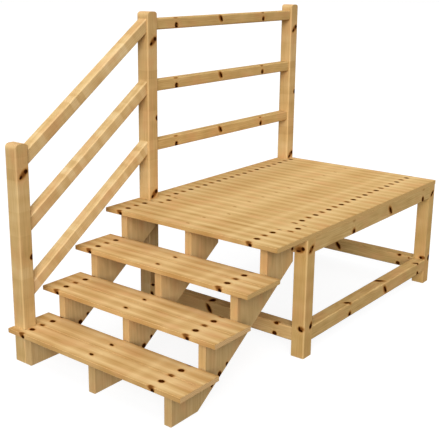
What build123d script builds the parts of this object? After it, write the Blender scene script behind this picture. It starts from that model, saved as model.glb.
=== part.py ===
from build123d import *
import os

# Timber deck stairs: four equal rises up to a raised platform, handrail on the left side only.
# Working frame while modelling: X across the stair from its left edge, Y in the direction of
# ascent from the first nosing, Z up from the ground. Every piece is shifted at export so that
# the origin is the centre of the footprint.

# Stair layout
stair_width = 1200.0
step_rise = 170.0
step_going = 251.0
step_count = 4
nosing_overhang = 39.5

# Deck boards
board_width = 142.5
board_gap = 1.0
board_thickness = 25.5
board_round = 2.5
boards_per_tread = 2
deck_board_count = 11
notch_clearance = 1.0

# Stringers
stringer_thickness = 44.5
stringer_foot = 195.0
stringer_middle_offset = 9.25
stringer_setback_right = 86.0
stringer_ease = 1.5

# Square posts and legs
post_size = 85.0
leg_size = 80.0
post_round = 9.0
post_joint_ease = 2.0
post_top_round = 30.0
deck_post_height = 1818.0

# Platform frame
platform_depth = 1599.0
beam_height = 83.5
beam_round = 2.0
stretcher_bottom = 86.5
stretcher_height = 81.0
stretcher_round = 8.0

# Handrail
rail_width = 65.5
rail_height = 65.5
stair_rail_height = 68.0
rail_round = 9.0
rail_below_post_top = 40.5
bottom_rail_above_deck = 291.5
rail_count = 3
stair_rail_drop = 15.5
newel_above_rail = 37.5

# Derived dimensions
deck_underside = step_count * step_rise
deck_top = deck_underside + board_thickness
tread_depth = boards_per_tread * board_width + (boards_per_tread - 1) * board_gap
landing_back = (step_count - 1) * step_going + tread_depth
platform_front = landing_back + notch_clearance
platform_back = platform_front + platform_depth
deck_boards_front = landing_back + board_gap
deck_board_pitch = (platform_back - deck_boards_front + board_gap) / deck_board_count
deck_board_width = deck_board_pitch - board_gap
leg_left = stair_width - leg_size
back_post_front = platform_back - post_size
back_leg_front = platform_back - leg_size
left_bay_front = platform_front + post_size
frame_bay_front = platform_front + leg_size
beam_bottom = deck_underside - beam_height
pitch = step_rise / step_going
pitch_length = (1 + pitch**2) ** 0.5
stringer_middle_left = (stair_width - stringer_thickness) / 2 - stringer_middle_offset
stringer_right_left = stair_width - stringer_setback_right - stringer_thickness
rail_inset = (post_size - rail_width) / 2
top_rail_bottom = deck_post_height - rail_below_post_top - rail_height
rail_spacing = (top_rail_bottom - deck_top - bottom_rail_above_deck) / (rail_count - 1)
newel_back = nosing_overhang + post_size
stair_rail_run = platform_front - newel_back
stair_rail_rise = stair_rail_height * pitch_length
stair_rail_fall = stair_rail_run * pitch
newel_height = top_rail_bottom - stair_rail_drop - stair_rail_fall + stair_rail_rise + newel_above_rail

os.makedirs("parts", exist_ok=True)


def block(x, y, z):
    """Plain box from three (low, high) pairs."""
    size = [pair[1] - pair[0] for pair in (x, y, z)]
    centre = [(pair[1] + pair[0]) / 2 for pair in (x, y, z)]
    return Pos(*centre) * Box(*size)


def bar_along_x(x, y, z, radius):
    """Planed timber running across the stair, with eased long edges."""
    section = RectangleRounded(y[1] - y[0], z[1] - z[0], radius)
    plane = Plane((x[0], (y[0] + y[1]) / 2, (z[0] + z[1]) / 2), x_dir=(0, 1, 0), z_dir=(1, 0, 0))
    return extrude(plane * section, x[1] - x[0])


def bar_along_y(x, y, z, radius):
    """Planed timber running front to back, with eased long edges."""
    section = RectangleRounded(x[1] - x[0], z[1] - z[0], radius)
    plane = Plane(((x[0] + x[1]) / 2, y[0], (z[0] + z[1]) / 2), x_dir=(-1, 0, 0), z_dir=(0, 1, 0))
    return extrude(plane * section, y[1] - y[0])


def railed_post(x, y, height):
    """Square post with rounded arrises, its head rounded over towards the front and the back."""
    section = Pos(x + post_size / 2, y + post_size / 2) * RectangleRounded(post_size, post_size, post_round)
    post = extrude(section, height)
    head = block((x, x + post_size), (y, y + post_size), (0, height))
    head = fillet(head.edges().group_by(Axis.Z)[-1].filter_by(Axis.X), post_top_round)
    return post & head


def platform_leg(x, y, outer_corner):
    """Leg under the deck: only the corner that stands free of the frame is fully rounded."""
    leg = block((x, x + leg_size), (y, y + leg_size), (0, deck_underside))
    upright = leg.edges().filter_by(Axis.Z).sort_by_distance(outer_corner)
    leg = fillet(upright[0], post_round)
    upright = leg.edges().filter_by(Axis.Z).sort_by_distance(outer_corner)
    return fillet(upright[-3:], post_joint_ease)


def stringer(x):
    """Sawtooth stringer cut from one plank: level seats, plumb risers, a level foot and a sloped back."""
    front = nosing_overhang
    outline = [(front, 0)]
    for step in range(step_count):
        outline.append((front + step * step_going, (step + 1) * step_rise))
        if step < step_count - 1:
            outline.append((front + (step + 1) * step_going, (step + 1) * step_rise))
    outline.append((platform_front, deck_underside))
    foot_end = front + stringer_foot
    outline.append((platform_front, (platform_front - foot_end) * pitch))
    outline.append((foot_end, 0))
    plane = Plane((x, 0, 0), x_dir=(0, 1, 0), z_dir=(1, 0, 0))
    plank = extrude(plane * make_face(Polyline(*outline, close=True)), stringer_thickness)
    faces = plank.faces().filter_by(Axis.X)
    return chamfer(faces.edges(), stringer_ease)


def board(y, width, level):
    """One deck board lying across the full width."""
    heights = (level, level + board_thickness)
    return bar_along_x((0, stair_width), (y, y + width), heights, board_round)


def post_cutout(y):
    """Space that a left-hand post takes out of a board."""
    low = y - notch_clearance
    high = y + post_size + notch_clearance
    return block((-1, post_size + notch_clearance), (low, high), (0, deck_post_height))


def tread(step):
    """Two boards on one step; the first tread is notched round the newel."""
    front = step * step_going
    boards = []
    for i in range(boards_per_tread):
        y = front + i * (board_width + board_gap)
        boards.append(board(y, board_width, (step + 1) * step_rise))
    if step == 0:
        boards[0] -= post_cutout(nosing_overhang)
    return boards


def deck_board(index):
    """Platform board, notched where a left-hand post passes through it."""
    y = deck_boards_front + index * deck_board_pitch
    piece = board(y, deck_board_width, deck_underside)
    for post_y in (platform_front, back_post_front):
        if post_y < y + deck_board_width and post_y + post_size > y:
            piece -= post_cutout(post_y)
    return piece


def level_rail(bottom):
    """Platform handrail member between the two left-hand posts."""
    x = (rail_inset, rail_inset + rail_width)
    return bar_along_y(x, (left_bay_front, back_post_front), (bottom, bottom + rail_height), rail_round)


def pitched_rail(bottom_at_post):
    """Stair handrail member at the pitch of the stair, cut plumb at both ends."""
    centre_z = bottom_at_post - stair_rail_fall / 2 + stair_rail_rise / 2
    plane = Plane(
        (rail_inset + rail_width / 2, (newel_back + platform_front) / 2, centre_z),
        x_dir=(-1, 0, 0),
        z_dir=(0, 1, pitch),
    )
    section = RectangleRounded(rail_width, stair_rail_height, rail_round)
    rail = extrude(plane * section, stair_rail_run, both=True)
    return rail & block((0, post_size), (newel_back, platform_front), (0, deck_post_height))


def frame_member(side, z, radius):
    """One side of a ring of timbers between the four platform posts."""
    if side == "front":
        return bar_along_x((post_size, leg_left), (platform_front, frame_bay_front), z, radius)
    if side == "back":
        return bar_along_x((post_size, leg_left), (back_leg_front, platform_back), z, radius)
    if side == "left":
        return bar_along_y((0, leg_size), (left_bay_front, back_post_front), z, radius)
    if side == "right":
        return bar_along_y((leg_left, stair_width), (frame_bay_front, back_leg_front), z, radius)
    middle = (stair_width - leg_size) / 2
    return bar_along_y((middle, middle + leg_size), (frame_bay_front, back_leg_front), z, radius)


def save(name, solids):
    """Shift to the centre of the footprint and write one node."""
    shift = Pos(-stair_width / 2, -platform_back / 2, 0)
    placed = [shift * solid for solid in solids]
    shape = placed[0] if len(placed) == 1 else Compound(children=placed)
    shape.label = name
    export_step(shape, f"parts/{name}.step")


save("newel_post", [railed_post(0, nosing_overhang, newel_height)])
save("deck_post_front_left", [railed_post(0, platform_front, deck_post_height)])
save("deck_post_back_left", [railed_post(0, back_post_front, deck_post_height)])
save("leg_front_right", [platform_leg(leg_left, platform_front, (stair_width, platform_front, 0))])
save("leg_back_right", [platform_leg(leg_left, back_leg_front, (stair_width, platform_back, 0))])

save("stringer_left", [stringer(post_size)])
save("stringer_middle", [stringer(stringer_middle_left)])
save("stringer_right", [stringer(stringer_right_left)])

for step in range(step_count - 1):
    save(f"tread_{step + 1}", tread(step))
save("landing_tread", tread(step_count - 1))

for index in range(deck_board_count):
    save(f"deck_board_{index + 1}", [deck_board(index)])

for side in ("front", "back", "left", "right"):
    save(f"beam_{side}", [frame_member(side, (beam_bottom, deck_underside), beam_round)])
for side in ("front", "back", "right"):
    stretcher_top = stretcher_bottom + stretcher_height
    save(f"stretcher_{side}", [frame_member(side, (stretcher_bottom, stretcher_top), stretcher_round)])
save("deck_joist", [frame_member("middle", (beam_bottom, deck_underside), beam_round)])

for name, drop in (("top", 0), ("middle", 1), ("bottom", 2)):
    bottom = top_rail_bottom - drop * rail_spacing
    save(f"deck_rail_{name}", [level_rail(bottom)])
    save(f"stair_rail_{name}", [pitched_rail(bottom - stair_rail_drop)])
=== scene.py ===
"""Timber deck stairs in knotty pine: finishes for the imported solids, pale floor, soft light and camera."""
import bpy
import math
from mathutils import Euler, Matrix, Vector


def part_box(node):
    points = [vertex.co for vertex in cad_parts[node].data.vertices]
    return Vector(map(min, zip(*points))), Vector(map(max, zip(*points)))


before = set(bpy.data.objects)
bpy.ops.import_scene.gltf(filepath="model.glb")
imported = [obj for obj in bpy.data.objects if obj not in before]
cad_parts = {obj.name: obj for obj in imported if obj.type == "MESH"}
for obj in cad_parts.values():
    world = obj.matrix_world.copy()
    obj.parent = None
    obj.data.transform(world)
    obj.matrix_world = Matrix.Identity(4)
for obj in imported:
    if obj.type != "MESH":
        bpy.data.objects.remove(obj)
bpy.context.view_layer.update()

MM = 1000.0             # patterns are laid out in millimetres


# ---------------------------------------------------------------- small helpers

def linear(code):
    """sRGB hex colour as linear RGBA."""
    values = [int(code[i:i + 2], 16) / 255 for i in (1, 3, 5)]
    return tuple(v / 12.92 if v <= 0.04045 else ((v + 0.055) / 1.055) ** 2.4 for v in values) + (1.0,)


def plug(tree, socket, value):
    """Set an input socket, or link it. A node stands for its live output."""
    if isinstance(value, bpy.types.Node):
        value = next(s for s in value.outputs if s.enabled)
    if isinstance(value, bpy.types.NodeSocket):
        tree.links.new(value, socket)
    else:
        socket.default_value = value


def add(tree, kind, inputs=None, **settings):
    """Add one node with its settings, and set or link its inputs."""
    node = tree.nodes.new(kind)
    for name, value in settings.items():
        setattr(node, name, value)
    for name, value in (inputs or {}).items():
        plug(tree, node.inputs[name], value)
    return node


def calc(tree, operation, *values):
    """Math node on numbers or sockets."""
    return add(tree, "ShaderNodeMath", dict(enumerate(values)), operation=operation)


def remap(tree, value, low, high, bottom=0.0, top=1.0, **settings):
    """Stretch the range from low to high onto bottom to top, held at both ends."""
    inputs = {"Value": value, "From Min": low, "From Max": high, "To Min": bottom, "To Max": top}
    return add(tree, "ShaderNodeMapRange", inputs, **settings)


def ramp(tree, factor, stops, interpolation="LINEAR"):
    """Colour ramp from (position, hex colour or grey level, alpha) stops."""
    made = add(tree, "ShaderNodeValToRGB", {"Fac": factor})
    band = made.color_ramp
    band.interpolation = interpolation
    while len(band.elements) > 1:
        band.elements.remove(band.elements[-1])
    for i, (position, colour, alpha) in enumerate(stops):
        stop = band.elements[0] if i == 0 else band.elements.new(position)
        stop.position = position
        stop.color = (linear(colour)[:3] if isinstance(colour, str) else (colour,) * 3) + (alpha,)
    return made


def mix(tree, factor, first, second, blend="MIX"):
    """Colour mix of two colours or sockets."""
    node = add(tree, "ShaderNodeMix", data_type="RGBA", blend_type=blend)
    for slot, value in ((0, factor), (6, first), (7, second)):
        plug(tree, node.inputs[slot], value)
    return node


def drawn_noise(tree, local, seed, along, across, detail, roughness=0.5, offset=(0.0, 0.0, 0.0)):
    """Noise whose waves are so many mm long along the timber and so many wide across it."""
    at = add(tree, "ShaderNodeVectorMath", {0: local, 1: (1 / along, 1 / across, 1 / across), 2: offset},
             operation="MULTIPLY_ADD")
    return add(tree, "ShaderNodeTexNoise", {"Vector": at, "W": seed, "Scale": 1.0, "Detail": detail,
                                            "Roughness": roughness}, noise_dimensions="4D")


# ---------------------------------------------------------------- tones of the pine

# pale sapwood, average surface, dense latewood
TREAD_WOOD = ("#EDCA90", "#DAB276", "#C29558")
DECK_WOOD = ("#E5C48B", "#D2AD72", "#BB9055")
POST_WOOD = ("#E3C48F", "#D0AB72", "#B69057")
NEWEL_WOOD = ("#E3C58F", "#D0AC72", "#B69157")
LEG_WOOD = ("#E1BF83", "#CEA768", "#B58C4F")
FRAME_WOOD = ("#E3C287", "#CDA86C", "#B28A50")
# painted light: FRAME_WOOD lightened for the front stretcher, to lift the shade it lies in under the deck
FRONT_STRETCHER_PAINTED_LIGHT = ("#EDCA91", "#D6AF74", "#BA9056")
BEAM_WOOD = ("#E6C68C", "#D0AC70", "#B48D53")
STAIR_RAIL_WOOD = ("#F1D6A5", "#DDBB83", "#C39D64")
# painted light and shade: the left and middle stringers are lightened to lift the shade under the treads, and
# the right one is darkened where more light reaches it
STRINGER_WOOD_PAINTED_LIGHT = ("#F1D099", "#DAB47B", "#B8925B")
STRINGER_WOOD_RIGHT_PAINTED_SHADE = ("#E4C691", "#CEAB74", "#AE8A56")

EDGE_HIGHLIGHT_PAINT = "#F0D09C"                      # painted highlight on the rounded edges, where the light catches them
BLUSH = "#D9A06C"                       # faint pink of resin-rich patches
RISER_SHADE_PAINT = "#EEEEEE"                   # painted shade: share of the wood's colour kept on the stringers' front faces, which lie in the shade under the tread nosings
END_WOOD = ("#E5BD87", "#CCA26C")       # cut ends, early and late rings
DECK_END_WOOD = ("#DAB376", "#C2995E")  # the same, cleaner and yellower on the upper boards

# knots, by distance from the middle, with the rim at 0.5: position, colour, cover
KNOT_TONES = {
    "faint": [          # only a brown stain of a knot, planed nearly away
        (0.00, "#9A6A34", 0.60),
        (0.36, "#A4743C", 0.50),
        (0.56, "#C59A5E", 0.25),
        (0.75, "#D9B27A", 0.00),
    ],
    "sound": [          # grown in with the wood: red-brown
        (0.00, "#6A3A0E", 0.95),
        (0.30, "#7A4616", 0.92),
        (0.44, "#965E24", 0.82),
        (0.56, "#BC8442", 0.55),
        (0.75, "#DDAC74", 0.28),
        (1.00, "#DDAC74", 0.00),
    ],
    "dead": [           # bark-ringed and nearly black
        (0.00, "#54290A", 1.00),
        (0.20, "#482006", 1.00),
        (0.38, "#301200", 1.00),
        (0.48, "#522904", 1.00),
        (0.56, "#8C500E", 0.85),
        (0.66, "#BA7E34", 0.50),
        (0.82, "#E2B47E", 0.30),
        (1.00, "#E2B47E", 0.00),
    ],
    "core": [           # blackened part inside a sound knot, with no pale rim of its own
        (0.00, "#2A0E00", 1.00),
        (0.36, "#301200", 1.00),
        (0.50, "#4A2006", 0.75),
        (0.64, "#5E3009", 0.00),
    ],
}


# ---------------------------------------------------------------- planed pine

GRAIN_TURN = {          # turns the timber's length onto the pattern's X
    "x": (0.0, 0.0, 0.0),
    "y": (0.0, 0.0, -math.pi / 2),
    "z": (0.0, math.pi / 2, 0.0),
}

# how the grain runs: wander of the rings in mm, what rings and streaks do to the tone, length of a streak in mm
FRAME_GRAIN = {"wander": 46.0, "ring": -0.24, "streak": 0.70, "length": 240}
POST_GRAIN = {"wander": 30.0, "ring": -0.16, "streak": 0.50, "length": 240}
STRINGER_GRAIN = {"wander": 30.0, "ring": -0.14, "streak": 0.50, "length": 240}
STAIR_RAIL_GRAIN = {"wander": 30.0, "ring": -0.16, "streak": 0.40, "length": 200}
BOARD_GRAIN = {"wander": 12.0, "ring": -0.12, "streak": 0.75, "length": 280}

RING_SPACING = 9.0            # mm, coarser than real 3 mm rings so that they still show
LATEWOOD = (0.35, 0.92)       # part of each ring over which it grows dense, before it turns pale at once
RING_SWELL = 13.0             # mm that the rings bend out beside a knot
SWELL_REACH = (0.4, 3.4)      # knot radii over which that bend dies away
FIBRE = (150, 5)              # mm long and wide, coarser than real 1 mm fibres so that they still show
STREAK_WIDTH = 20             # mm
WANDER = (420, 60)            # mm along and across
BLUSH_PATCH = (150, 70)       # mm along and across
BLUSH_SHARE = 0.45            # how pink the middle of a patch is
RAGGED = 9.0                  # mm, spread of a knot's ragged outline
RAGGED_SCALE = 0.07           # its waves are about 14 mm long
PITH = (0.3, -1.6)            # middle of the rings: sideways in half widths, down in the larger half size
MEAN_TONE = 0.56              # 0 is dense and dark, 1 pale
SEED_STEP = 7.3               # from one board of a shared finish to the next
ROUGHNESS = 0.85              # of the planed surface
RING_POLISH = -0.08           # what the hard latewood adds to it
RELIEF = 0.0006               # m, height of the raised grain


def knot_place(face, along, offset, half, tilt, section):
    """Middle, turn and radii of one knot on a named side of a timber."""
    hy, hz = section
    if face in ("y-", "y+"):
        middle = (along, -hy if face == "y-" else hy, offset)
        return middle, (0.0, -math.radians(tilt), 0.0), (half[0], half[2], half[1])
    middle = (along, offset, -hz if face == "z-" else hz)
    return middle, (0.0, 0.0, math.radians(tilt)), half


def knot_distances(tree, local, seed, section, knots):
    """Distance to the nearest knot of each kind, 1 on the rim, with ragged outlines."""
    rough = add(tree, "ShaderNodeTexNoise", {"Vector": local, "W": seed, "Scale": RAGGED_SCALE, "Detail": 2.0},
                noise_dimensions="4D")
    stray = add(tree, "ShaderNodeVectorMath", {0: rough.outputs["Color"], 1: (RAGGED,) * 3,
                                               2: (-RAGGED / 2,) * 3}, operation="MULTIPLY_ADD")
    knot_space = add(tree, "ShaderNodeVectorMath", {0: local, 1: stray}, operation="ADD")
    nearest = {}
    for kind, side, along, offset, half, tilt in knots:
        middle, spin, radii = knot_place(side, along, offset, half, tilt, section)
        inside = add(tree, "ShaderNodeMapping", {"Vector": knot_space, "Location": middle, "Rotation": spin,
                                                 "Scale": radii}, vector_type="TEXTURE")
        away = add(tree, "ShaderNodeVectorMath", {0: inside}, operation="LENGTH").outputs["Value"]
        nearest[kind] = calc(tree, "MINIMUM", nearest[kind], away) if kind in nearest else away
    return nearest


def growth_rings(tree, y, z, wander, section, grain, nearest):
    """Rings about a pith below the face, swelling round each knot: 1 in the dense latewood, 0 between."""
    dy = calc(tree, "SUBTRACT", y, PITH[0] * section[0])
    dz = calc(tree, "SUBTRACT", z, PITH[1] * max(section))
    flat = add(tree, "ShaderNodeCombineXYZ", {1: dy, 2: dz})
    radius = add(tree, "ShaderNodeVectorMath", {0: flat}, operation="LENGTH").outputs["Value"]
    field = calc(tree, "MULTIPLY_ADD", wander, grain["wander"], radius)
    any_knot = None
    for away in nearest.values():
        any_knot = away if any_knot is None else calc(tree, "MINIMUM", any_knot, away)
    if any_knot is not None:
        swell = remap(tree, any_knot, *SWELL_REACH, RING_SWELL, 0.0, interpolation_type="SMOOTHERSTEP")
        field = calc(tree, "ADD", field, swell)
    phase = calc(tree, "FRACT", calc(tree, "MULTIPLY", field, 1 / RING_SPACING))
    late = remap(tree, phase, *LATEWOOD)
    edge = remap(tree, phase, LATEWOOD[1], 1.0, 1.0, 0.0)
    return calc(tree, "MULTIPLY", late, edge)


def shift_tone(tree, level, value, strength):
    """Tone with a share of another pattern added to it."""
    return calc(tree, "MULTIPLY_ADD", value, strength, level)


def planed_pine(name, origin, turn, section, knots, seed, woods, grain=FRAME_GRAIN, cloudy=0.45, fibrous=0.35,
                cloud_size=(110, 60), blocky=0.0, block_length=60, board_pitch=None, band=0.0, figure=None,
                edge_highlight=0.0, riser_shade=None, cut_end=END_WOOD):
    """Slab-cut, planed, unfinished pine for one timber.

    It is honey-coloured and nearly matt, with soft rings, paler sapwood and dark resin-ringed knots.

    origin, turn     middle of its first end, in metres, and what turns its length onto the pattern's X
    section          half its width and half its thickness, in mm
    cloudy           strength of pale and deep patches, which are cloud_size mm long and wide
    fibrous          strength of the fine fibres
    blocky           strength of the change from one glued-up length to the next, each block_length mm long
    board_pitch      width in mm after which a finish shared by boards side by side starts again
    band             strength of the dense rows along each board
    figure           (mm from the left end, change of tone) stops
    edge_highlight   share of painted highlight on the rounded edges, where the light catches them
    riser_shade      share of the colour kept on the faces turned to the front: painted shade under the tread nosings
    """
    mat = bpy.data.materials.new(name)
    mat.use_nodes = True
    tree = mat.node_tree
    tree.nodes.clear()

    where = add(tree, "ShaderNodeTexCoord")
    shift = -(Euler(turn).to_matrix() @ Vector(origin)) * MM
    local = add(tree, "ShaderNodeMapping", {"Vector": where.outputs["Object"], "Location": shift,
                                            "Rotation": turn, "Scale": (MM, MM, MM)})
    face = add(tree, "ShaderNodeMapping", {"Vector": where.outputs["Normal"], "Rotation": turn})
    facing = add(tree, "ShaderNodeSeparateXYZ", {"Vector": face}).outputs
    x, y, z = add(tree, "ShaderNodeSeparateXYZ", {"Vector": local}).outputs
    seed = float(seed)
    if board_pitch:
        # fold the width back to one board, and give each board its own pattern
        index = calc(tree, "FLOOR", calc(tree, "DIVIDE", y, board_pitch))
        seed = calc(tree, "MULTIPLY_ADD", index, SEED_STEP, seed)
        y = calc(tree, "SUBTRACT", calc(tree, "MULTIPLY_ADD", index, -board_pitch, y), board_pitch / 2)
        local = add(tree, "ShaderNodeCombineXYZ", {0: x, 1: y, 2: z})

    nearest = knot_distances(tree, local, seed, section, knots)
    wander = drawn_noise(tree, local, seed, *WANDER, 2.0)
    ring = growth_rings(tree, y, z, wander, section, grain, nearest)
    fibre = drawn_noise(tree, local, seed, *FIBRE, 3.0, roughness=0.6)
    streak = drawn_noise(tree, local, seed, grain["length"], STREAK_WIDTH, 2.0)
    cloud = drawn_noise(tree, local, seed, *cloud_size, 1.0)

    # tone: each noise is centred on 0.5
    level = shift_tone(tree, MEAN_TONE - 0.5 * (grain["streak"] + cloudy + fibrous), streak, grain["streak"])
    level = shift_tone(tree, level, cloud, cloudy)
    level = shift_tone(tree, level, fibre, fibrous)
    level = shift_tone(tree, level, ring, grain["ring"])
    if blocky:
        # glued-up lengths a little paler or deeper than their neighbours
        station = calc(tree, "MULTIPLY_ADD", x, 1 / block_length, seed)
        length = add(tree, "ShaderNodeTexVoronoi", {"W": station, "Scale": 1.0, "Randomness": 0.7},
                     voronoi_dimensions="1D")
        level = shift_tone(tree, level, calc(tree, "SUBTRACT", length.outputs["Color"], 0.5), blocky)
    if band:
        # dense rows along the middle and the edges of each board, paler wood between
        wave = calc(tree, "COSINE", calc(tree, "MULTIPLY", y, 4 * math.pi / board_pitch))
        level = shift_tone(tree, level, wave, -band)
    if figure:
        # slow run of paler and deeper wood along the board, drawn about a middle grey
        end = figure[-1][0]
        run = ramp(tree, remap(tree, x, 0.0, end), [(at / end, 0.5 + change, 1.0) for at, change in figure],
                   "CARDINAL")
        level = calc(tree, "ADD", level, calc(tree, "SUBTRACT", run.outputs["Color"], 0.5))
    pale, honey, tan = woods
    wood = ramp(tree, level, [(0.0, tan, 1.0), (0.5, honey, 1.0), (1.0, pale, 1.0)]).outputs["Color"]
    patch = drawn_noise(tree, local, seed, *BLUSH_PATCH, 1.0, offset=(37.0, 11.0, 5.0))
    wood = mix(tree, remap(tree, patch, 0.5, 0.75, top=BLUSH_SHARE), wood, linear(BLUSH))

    if edge_highlight:
        # painted highlight: the rounded-over long edges are painted paler than the faces, where the light
        # catches them
        squarest = calc(tree, "MAXIMUM", calc(tree, "ABSOLUTE", facing[1]), calc(tree, "ABSOLUTE", facing[2]))
        wood = mix(tree, remap(tree, squarest, 0.98, 0.80, top=edge_highlight), wood, linear(EDGE_HIGHLIGHT_PAINT))
    if riser_shade:
        # painted shade: the faces turned to the front are darkened, as they lie in the shade under the tread
        # nosings
        front = remap(tree, facing[1], -0.55, -0.9)
        wood = mix(tree, front, wood, mix(tree, 1.0, wood, linear(riser_shade), blend="MULTIPLY"))

    # end grain shows the rings, early and late
    cut = remap(tree, calc(tree, "ABSOLUTE", facing[0]), 0.55, 0.9)
    colour = mix(tree, cut, wood, mix(tree, ring, linear(cut_end[0]), linear(cut_end[1])))
    for kind, stops in KNOT_TONES.items():
        if kind in nearest:
            knot = ramp(tree, calc(tree, "MULTIPLY", nearest[kind], 0.5), stops)
            colour = mix(tree, knot.outputs["Alpha"], colour, knot)

    height = calc(tree, "MULTIPLY_ADD", fibre, 0.6, ring)
    bump = add(tree, "ShaderNodeBump", {"Height": height, "Strength": 0.25, "Distance": RELIEF})
    gloss = calc(tree, "MULTIPLY_ADD", ring, RING_POLISH, ROUGHNESS)
    shader = add(tree, "ShaderNodeBsdfPrincipled", {"Base Color": colour, "Roughness": gloss, "Normal": bump,
                                                    "IOR": 1.45, "Specular IOR Level": 0.0})
    add(tree, "ShaderNodeOutputMaterial", {"Surface": shader})
    return mat


def finish_node(node, mat):
    """Give a solid its finish."""
    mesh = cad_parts[node].data
    mesh.materials.clear()
    mesh.materials.append(mat)


def timber_frame(node, grain):
    """Middle of a timber's first end, in metres, and half its section in mm, from its solid."""
    low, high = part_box(node)
    size = high - low
    middle = (low + high) / 2
    if grain == "x":
        return Vector((low.x, middle.y, middle.z)), (size.y / 2 * MM, size.z / 2 * MM)
    if grain == "y":
        return Vector((middle.x, low.y, middle.z)), (size.x / 2 * MM, size.z / 2 * MM)
    return Vector((middle.x, middle.y, low.z)), (size.y / 2 * MM, size.x / 2 * MM)


# ---------------------------------------------------------------- knots, by timber
# kind, side, distance along, offset across, half sizes (along, across, deep), all in mm, tilt in degrees

def post_knots(high, low_one, edge=31):
    """Branch knots of a railed post: a slanting pair near the top and again lower, small ones between.

    edge is the offset of the one that sits beside a rounded corner.
    """
    knots = []
    for at in (high, low_one):
        knots += [
            ("sound", "z-", at + 2, 3, (34, 17, 14), 47),
            ("core", "z-", at + 14, 19, (12, 12, 14), 45),
            ("core", "z-", at - 12, -14, (11, 8, 12), 47),
            ("dead", "y+", at + 6, 4, (20, 9, 14), -35),
            ("dead", "z+", at - 4, -10, (14, 11, 12), 20),
        ]
    return knots + [
        ("dead", "z-", high - 450, edge, (14, 10, 10), 0),
        ("sound", "z+", high - 300, 6, (14, 8, 12), 15),
        ("dead", "y+", high - 460, -12, (11, 8, 12), 0),
    ]


def leg_knots(high, low_one):
    """Branch knots of a short leg: a broad pair near its top and smaller ones low down."""
    return [
        ("sound", "y-", high - 4, 5, (17, 27, 16), 14),
        ("core", "y-", high - 13, 14, (4, 14, 14), 10),
        ("core", "y-", high + 4, -14, (10, 11, 16), 15),
        ("sound", "z-", high - 2, 0, (28, 16, 14), 50),
        ("core", "z-", high + 8, 11, (9, 7, 14), 50),
        ("core", "z-", high - 12, -11, (8, 5, 14), 50),
        ("dead", "z+", high - 6, 8, (18, 10, 14), -30),
        ("dead", "y+", high + 2, -10, (14, 12, 14), 0),
        ("sound", "y-", low_one, -19, (16, 19, 12), 0),
        ("core", "y-", low_one - 1, -10, (13, 7, 12), 5),
        ("core", "y-", low_one - 9, -18, (6, 12, 12), 0),
        ("core", "z-", low_one + 2, 24, (14, 12, 10), 20),
        ("sound", "z-", low_one + 8, 27, (21, 13, 10), 22),
        ("dead", "z+", low_one - 12, -18, (12, 9, 12), 0),
        ("dead", "y+", low_one + 20, 14, (13, 9, 12), 0),
    ]


def timber_knots(stations, low_edge):
    """Knots of a level timber seen square on: two near its low edge, and one right across its middle."""
    first, middle, last = stations
    return [
        ("sound", "y-", first, low_edge, (19, 19, 12), 0),
        ("core", "y-", first + 2, low_edge, (11, 12, 12), 0),
        ("faint", "y-", first - 3, 38, (20, 12, 12), 0),
        ("sound", "y-", middle, 0, (18, 34, 14), 38),
        ("core", "y-", middle + 3, -1, (9, 27, 14), 38),
        ("dead", "y-", last, low_edge, (14, 17, 12), 15),
        ("faint", "y-", last + 2, 38, (18, 10, 12), 0),
        ("dead", "y+", first + 20, -8, (11, 14, 12), 0),
        ("sound", "y+", middle - 25, 22, (12, 10, 12), 0),
        ("dead", "y+", last - 15, 4, (10, 20, 12), 16),
    ]


def rail_knots(first, middle, last, shift=0.0):
    """Knots of a handrail: one near its low edge, one right across it, and one near its low edge again."""
    return [
        ("sound", "y-", first, -12 + shift, (16, 17, 12), 0),
        ("core", "y-", first - 6, -12 + shift, (7, 15, 12), 0),
        ("core", "y-", first + 2, -3 + shift, (9, 5, 12), 0),
        ("core", "y-", first + 2, -21 + shift, (9, 6, 12), 0),
        ("sound", "y-", first - 5, 33, (20, 7, 10), 0),
        ("sound", "y-", middle - 2, 11, (17, 26, 14), 38),
        ("core", "y-", middle + 6, 7, (8, 19, 14), 38),
        ("sound", "y-", last + 3, -9, (15, 17, 12), 0),
        ("core", "y-", last - 2, -12, (9, 12, 12), 0),
        ("sound", "y-", last - 2, 33, (18, 7, 10), 0),
        ("dead", "y+", first + 14, 4, (10, 14, 12), 10),
        ("sound", "y+", middle - 18, -8, (10, 12, 12), 0),
        ("dead", "y+", last + 9, 10, (9, 15, 12), 0),
        ("dead", "z-", first + 4, 0, (12, 9, 10), 0),
        ("sound", "z-", middle + 6, -8, (14, 8, 10), 0),
    ]


STRINGER_KNOTS = [      # along the sloped back edge, and a few in the plank's sides
    ("dead", "z-", 163, -78, (12, 9, 12), 0),
    ("dead", "z-", 131, -137, (14, 13, 14), 0),
    ("dead", "z-", 94, -197, (9, 9, 12), 0),
    ("dead", "z+", 158, -84, (11, 9, 12), 0),
    ("sound", "z+", 350, 96, (14, 10, 14), 20),
    ("dead", "z+", 560, 330, (12, 10, 12), 0),
]


def board_knots(shift=0, small=6):
    """Knots of a board: two dark ones at mid-width, cut ones along both edges and a little one between.

    small is half the width in mm of the little one's core, and 0 leaves only a stain of it.
    """
    knots = []
    for at in (112, 1027):
        knots += [
            ("dead", "z+", at + shift, 0, (15, 12.5, 18), -6),
            ("sound", "z+", at - 5 + shift, -70, (19, 13, 17), 0),
            ("sound", "z+", at - 5 + shift, 72, (19, 12, 15), 0),
            ("dead", "z+", at - 1 + shift, 72, (13, 8, 12), 0),
            ("sound", "y-", at - 1 + shift, 3, (18, 13, 12), 0),
            ("core", "y-", at + 6 + shift, -4, (11, 9, 12), 0),
            ("dead", "z-", at + 9 + shift, 4, (15, 11, 16), 0),
        ]
    if small:
        knots.append(("sound", "z+", 571 + shift, -9, (17, 10, 12), -22))
        knots.append(("core", "z+", 570 + shift, -9, (small * 2, small, 12), -22))
    else:
        knots.append(("faint", "z+", 571 + shift, -9, (15, 8, 12), -22))
    knots.append(("sound", "z-", 595 + shift, 20, (12, 8, 12), 0))
    return knots


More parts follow.
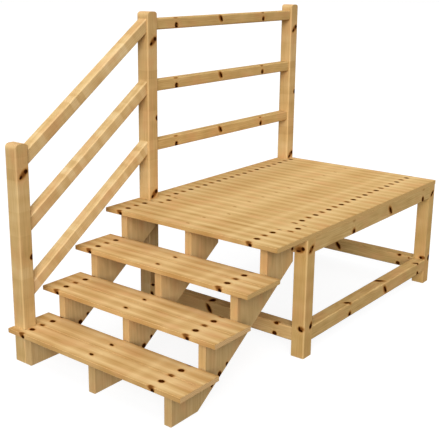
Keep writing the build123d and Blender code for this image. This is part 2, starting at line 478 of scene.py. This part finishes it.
KNOTS = {
    "newel_post": post_knots(1036, 132),
    "deck_post_front_left": post_knots(1647, 733),
    "deck_post_back_left": post_knots(1649, 733, 28) + [("dead", "z-", 165, -19, (9, 8, 10), 0)],
    "leg_front_right": leg_knots(622, 171),
    "leg_back_right": [
        ("sound", "y-", 179, -24, (13, 22, 12), 0),
        ("core", "y-", 177, -13, (9, 9, 12), 0),
        ("sound", "z-", 622, 0, (25, 13, 12), 48),
        ("core", "z-", 622, 0, (22, 9, 12), 48),
        ("dead", "z-", 168, 19, (17, 12, 10), 10),
        ("dead", "y+", 600, -6, (12, 14, 12), 0),
        ("dead", "y+", 210, 12, (12, 9, 12), 0),
        ("sound", "z+", 590, 10, (16, 9, 12), -30),
    ],
    "beam_left": timber_knots((397, 875, 1345), -28),
    "beam_right": timber_knots((420, 872, 1336), -28),
    "deck_joist": timber_knots((380, 850, 1310), -26),
    "beam_front": timber_knots((330, 640, 960), -26),
    "beam_back": timber_knots((350, 610, 930), -26),
    "stretcher_right": [
        ("sound", "y-", 423, -24, (19, 19, 12), 0),
        ("core", "y-", 425, -24, (11, 12, 12), 0),
        ("sound", "y-", 870, -2, (18, 34, 14), 38),
        ("core", "y-", 873, -3, (9, 27, 14), 38),
        ("dead", "y-", 1341, -32, (11, 18, 12), 30),
        ("sound", "z+", 1335, -28, (12, 24, 12), 26),
        ("core", "z+", 1335, -28, (10, 20, 12), 26),
        ("sound", "z+", 425, -22, (15, 25, 12), 40),
        ("core", "z+", 426, -20, (9, 18, 12), 40),
        ("sound", "z+", 877, 4, (18, 36, 12), 40),
        ("core", "z+", 879, 9, (9, 22, 12), 40),
        ("dead", "y+", 400, 8, (12, 12, 12), 0),
        ("dead", "y+", 905, -14, (10, 14, 12), 0),
        ("sound", "z-", 610, 6, (12, 9, 12), 0),
    ],
    "stretcher_back": [
        ("sound", "y-", 458, 6, (16, 32, 14), 36),
        ("core", "y-", 461, 5, (10, 28, 14), 36),
        ("sound", "y-", 932, 38, (18, 10, 12), 0),
        ("dead", "y-", 934, 36, (11, 7, 12), 0),
        ("dead", "y-", 926, -24, (13, 11, 12), 0),
        ("sound", "y-", 1003, 30, (6, 6, 10), 0),
        ("dead", "y+", 440, 0, (10, 16, 12), 10),
        ("dead", "y+", 760, -18, (12, 9, 12), 0),
        ("sound", "z+", 936, 30, (13, 9, 12), 0),
        ("dead", "z-", 380, 10, (10, 10, 12), 0),
    ],
    "stretcher_front": [
        ("sound", "y-", 21, 39, (16, 10, 12), 0),
        ("core", "y-", 22, 39, (13, 9, 12), 0),
        ("sound", "y-", 14, -20, (14, 13, 12), 0),
        ("core", "y-", 14, -21, (11, 10, 12), 0),
        ("sound", "y-", 462, 0, (16, 32, 14), 36),
        ("core", "y-", 465, -1, (10, 28, 14), 36),
        ("sound", "y-", 933, 38, (18, 10, 12), 0),
        ("dead", "y-", 935, 37, (12, 7, 12), 0),
        ("dead", "y-", 926, -26, (13, 11, 12), 0),
        ("sound", "z+", 466, -8, (20, 26, 12), 0),
        ("core", "z+", 467, -8, (15, 20, 12), 0),
        ("sound", "z+", 940, -28, (14, 11, 12), 0),
        ("dead", "y+", 450, 6, (10, 16, 12), 10),
        ("dead", "y+", 780, -12, (12, 9, 12), 0),
        ("dead", "z-", 400, 10, (10, 10, 12), 0),
    ],
    "deck_rail_top": rail_knots(182, 621, 1093),
    "deck_rail_middle": rail_knots(183, 624, 1096, -3),
    "deck_rail_bottom": rail_knots(182, 627, 1091, -8),
    "stringer_left": STRINGER_KNOTS,
    "stringer_middle": STRINGER_KNOTS,
    "stringer_right": STRINGER_KNOTS + [("dead", "z-", 620, 490, (10, 9, 12), 0)],
}


# ---------------------------------------------------------------- finishes, by timber

# painted highlight: arris is the share of paler colour painted on the rounded edges, where the light catches
# them
POST_LOOK = {"grain": POST_GRAIN, "cloudy": 0.95, "fibrous": 0.28, "cloud_size": (95, 150), "edge_highlight": 0.22,
             "blocky": 0.32, "block_length": 60}
LEG_LOOK = {"grain": POST_GRAIN, "cloudy": 0.95, "fibrous": 0.28, "cloud_size": (95, 150), "edge_highlight": 0.3}
PLAIN_LOOK = {}
BEAM_LOOK = {"cloudy": 0.6}
LONG_LOOK = {"cloudy": 0.6, "edge_highlight": 0.12}

TIMBERS = [             # node, way of its length, seed, tones, look
    ("newel_post", "z", 1, NEWEL_WOOD, POST_LOOK),
    ("deck_post_front_left", "z", 2, POST_WOOD, POST_LOOK),
    ("deck_post_back_left", "z", 3, POST_WOOD, POST_LOOK),
    ("leg_front_right", "z", 4, LEG_WOOD, LEG_LOOK),
    ("leg_back_right", "z", 5, LEG_WOOD, LEG_LOOK),
    ("beam_front", "x", 20, FRAME_WOOD, PLAIN_LOOK),
    ("beam_back", "x", 21, FRAME_WOOD, PLAIN_LOOK),
    ("stretcher_front", "x", 22, FRONT_STRETCHER_PAINTED_LIGHT, PLAIN_LOOK),
    ("stretcher_back", "x", 23, FRAME_WOOD, PLAIN_LOOK),
    ("beam_left", "y", 30, BEAM_WOOD, BEAM_LOOK),
    ("beam_right", "y", 31, BEAM_WOOD, BEAM_LOOK),
    ("stretcher_right", "y", 32, FRAME_WOOD, LONG_LOOK),
    ("deck_joist", "y", 33, FRAME_WOOD, LONG_LOOK),
    ("deck_rail_top", "y", 34, FRAME_WOOD, LONG_LOOK),
    ("deck_rail_middle", "y", 35, FRAME_WOOD, LONG_LOOK),
    ("deck_rail_bottom", "y", 36, FRAME_WOOD, LONG_LOOK),
]
for node, grain, seed, woods, look in TIMBERS:
    origin, section = timber_frame(node, grain)
    finish_node(node, planed_pine("planed_pine_" + node, origin, GRAIN_TURN[grain], section, KNOTS[node], seed,
                                  woods, **look))

STRINGER_SECTION = (500, 22.25)         # mm: a half depth that sets the rings, half the plank's thickness
# painted shade on the front faces of the left and middle stringers
for node, seed, woods, riser_shade in (("stringer_left", 10, STRINGER_WOOD_PAINTED_LIGHT, RISER_SHADE_PAINT),
                                ("stringer_middle", 11, STRINGER_WOOD_PAINTED_LIGHT, RISER_SHADE_PAINT),
                                ("stringer_right", 12, STRINGER_WOOD_RIGHT_PAINTED_SHADE, None)):
    low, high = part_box(node)
    origin = Vector(((low.x + high.x) / 2, (low.y + high.y) / 2, low.z))
    finish_node(node, planed_pine("planed_pine_" + node, origin, GRAIN_TURN["z"], STRINGER_SECTION, KNOTS[node],
                                  seed, woods, grain=STRINGER_GRAIN, fibrous=0.25, riser_shade=riser_shade))

RISE, GOING = 170, 251                  # mm, of one step
STAIR_RAIL_SECTION = (32.75, 34)        # mm, half its width and half its depth
STAIR_RAIL_START = 0.04                 # m from the low end's underside to its middle
pitch_turn = (-math.atan2(RISE, GOING), 0.0, -math.pi / 2)
for seed, node in enumerate(("stair_rail_top", "stair_rail_middle", "stair_rail_bottom"), 40):
    low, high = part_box(node)
    origin = Vector(((low.x + high.x) / 2, low.y, low.z + STAIR_RAIL_START))
    finish_node(node, planed_pine("planed_pine_" + node, origin, pitch_turn, STAIR_RAIL_SECTION, [], seed,
                                  STAIR_RAIL_WOOD, grain=STAIR_RAIL_GRAIN, cloudy=1.0, fibrous=0.25,
                                  cloud_size=(60, 150), blocky=0.4, block_length=50, edge_highlight=0.4))

# mm from a board's left end, change of tone: paler beside the knots and in two patches between them
FIGURE = [(0, -0.40), (27, -0.24), (65, -0.18), (125, 0.18), (170, 0.07), (215, -0.01), (285, -0.15),
          (355, -0.08), (405, 0.05), (445, 0.14), (485, 0.04), (535, 0.08), (605, 0.18), (645, 0.10),
          (685, -0.04), (745, -0.15), (805, -0.07), (850, -0.06), (890, 0.18), (930, 0.0),
          (975, 0.04), (1050, 0.30), (1090, 0.13), (1135, 0.0), (1185, -0.10), (1200, -0.2)]
BOARD_GAP = 1.0                         # mm
# on the boards the painted highlight on the rounded edges also lightens the shade in the joints between them
BOARD_LOOK = {"figure": FIGURE, "grain": BOARD_GRAIN, "cloudy": 0.22, "edge_highlight": 0.3}
TREAD_LOOK = {"band": 0.27, "fibrous": 0.6}
DECK_LOOK = {"band": 0.2, "fibrous": 0.5}

for node, seed, small, woods, cut_end in (("tread_1", 50, 6, TREAD_WOOD, END_WOOD),
                                          ("tread_2", 51, 5, TREAD_WOOD, END_WOOD),
                                          ("tread_3", 52, 4, TREAD_WOOD, DECK_END_WOOD),
                                          ("landing_tread", 53, 0, DECK_WOOD, DECK_END_WOOD)):
    low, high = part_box(node)
    pitch = (high.y - low.y) * MM / 2 + BOARD_GAP / 2
    origin = Vector((low.x, low.y, (low.z + high.z) / 2))
    section = (pitch / 2, (high.z - low.z) / 2 * MM)
    finish_node(node, planed_pine("planed_pine_" + node, origin, GRAIN_TURN["x"], section,
                                  board_knots(small=small), seed, woods, board_pitch=pitch, cut_end=cut_end,
                                  **BOARD_LOOK, **TREAD_LOOK))

DECK_COUNT = 11
BOARD_HALF = 12.75                      # mm, half a board's thickness
FIRST_SHIFT = 66                        # mm by which the first board's knots lie further from its left end
decks = ["deck_board_%d" % (i + 1) for i in range(DECK_COUNT)]
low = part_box(decks[0])[0]
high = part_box(decks[-1])[1]
pitch = ((high.y - low.y) * MM + BOARD_GAP) / DECK_COUNT
origin = Vector((low.x, low.y, (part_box(decks[0])[1].z + low.z) / 2))
deck_mat, first_mat = [
    planed_pine(name, origin, GRAIN_TURN["x"], (pitch / 2, BOARD_HALF), board_knots(shift, 0), seed, DECK_WOOD,
                board_pitch=pitch, cut_end=DECK_END_WOOD, **BOARD_LOOK, **DECK_LOOK)
    for name, shift, seed in (("planed_pine_deck_boards", 0, 60), ("planed_pine_deck_board_1", FIRST_SHIFT, 61))]
for node in decks:
    finish_node(node, first_mat if node == "deck_board_1" else deck_mat)


# ---------------------------------------------------------------- floor, light, camera

FLOOR_RADIUS = 60                       # m
FLOOR_PAINT = 0.21                      # what takes the shadow
FLOOR_GLOW = 0.885                      # lifts the lit floor to the background's white
FLOOR_BOUNCE = 0.12                     # what the floor sends up to the object
ROOM_LEVEL = 0.21                       # even light from the surroundings
LAMP_DISTANCE = 5                       # m, only for where the lamp is drawn


def grey(level):
    """Neutral linear colour."""
    return (level, level, level, 1.0)


def seen_directly(tree):
    """1 for rays from the camera, off a glossy surface or through a clear one."""
    path = add(tree, "ShaderNodeLightPath").outputs
    seen = calc(tree, "MAXIMUM", path["Is Camera Ray"], path["Is Glossy Ray"])
    return calc(tree, "MAXIMUM", seen, path["Is Transmission Ray"])


def pale_floor():
    """Wide pale floor that fades to the background and keeps a soft shadow."""
    bpy.ops.object.select_all(action="DESELECT")
    bpy.ops.mesh.primitive_circle_add(vertices=96, radius=FLOOR_RADIUS, fill_type="NGON")
    floor = bpy.context.object
    floor.name = "floor"
    # matt white paint that runs evenly into the background and sends only a little light up to the timber
    mat = bpy.data.materials.new("matt_white_floor")
    mat.use_nodes = True
    tree = mat.node_tree
    tree.nodes.clear()
    paint = add(tree, "ShaderNodeBsdfDiffuse", {"Color": grey(FLOOR_PAINT)})
    glow = add(tree, "ShaderNodeEmission", {"Color": grey(1.0), "Strength": FLOOR_GLOW})
    shown = add(tree, "ShaderNodeAddShader", {0: paint, 1: glow})
    bounce = add(tree, "ShaderNodeBsdfDiffuse", {"Color": grey(FLOOR_BOUNCE)})
    pick = add(tree, "ShaderNodeMixShader", {0: seen_directly(tree), 1: bounce, 2: shown})
    add(tree, "ShaderNodeOutputMaterial", {"Surface": pick})
    floor.data.materials.append(mat)


def lamp_from(name, azimuth, elevation, level, spread):
    """Broad distant lamp; at level 1 a matt surface square to it shows its own colour."""
    lamp = bpy.data.lights.new(name, "SUN")
    lamp.energy = level * math.pi
    lamp.angle = math.radians(spread)
    holder = bpy.data.objects.new(name, lamp)
    a, e = math.radians(azimuth), math.radians(elevation)
    back = Vector((math.sin(a) * math.cos(e), -math.cos(a) * math.cos(e), math.sin(e)))
    holder.rotation_euler = (-back).to_track_quat("-Z", "Y").to_euler()
    holder.location = back * LAMP_DISTANCE
    bpy.context.scene.collection.objects.link(holder)


def soft_studio():
    """Dim even surroundings, a low key from the front right, a broad light overhead and a fill from behind."""
    world = bpy.data.worlds.new("studio")
    bpy.context.scene.world = world
    world.use_nodes = True
    tree = world.node_tree
    tree.nodes.clear()
    room = add(tree, "ShaderNodeBackground", {"Color": grey(1.0), "Strength": ROOM_LEVEL})
    white = add(tree, "ShaderNodeBackground", {"Color": grey(1.0), "Strength": 1.0})
    pick = add(tree, "ShaderNodeMixShader", {0: seen_directly(tree), 1: room, 2: white})
    add(tree, "ShaderNodeOutputWorld", {"Surface": pick})
    lamp_from("key", 34, 24, 0.86, 40)
    lamp_from("overhead", 34, 80, 0.36, 50)
    lamp_from("fill", 214, 22, 0.38, 60)


def camera():
    """Camera a little over head height, front right of the stair."""
    azimuth, elevation = 39.99, 14.97
    data = bpy.data.cameras.new("camera")
    data.sensor_width = 36
    data.lens = 68.41
    data.shift_x = 0.0903
    data.shift_y = -0.0372
    data.clip_end = 200
    holder = bpy.data.objects.new("camera", data)
    holder.location = (2.76683, -3.90163, 2.02293)
    holder.rotation_euler = (math.radians(90 - elevation), 0.0, math.radians(azimuth))
    bpy.context.scene.collection.objects.link(holder)
    bpy.context.scene.camera = holder


pale_floor()
soft_studio()
camera()
bpy.context.scene.view_settings.view_transform = "Standard"
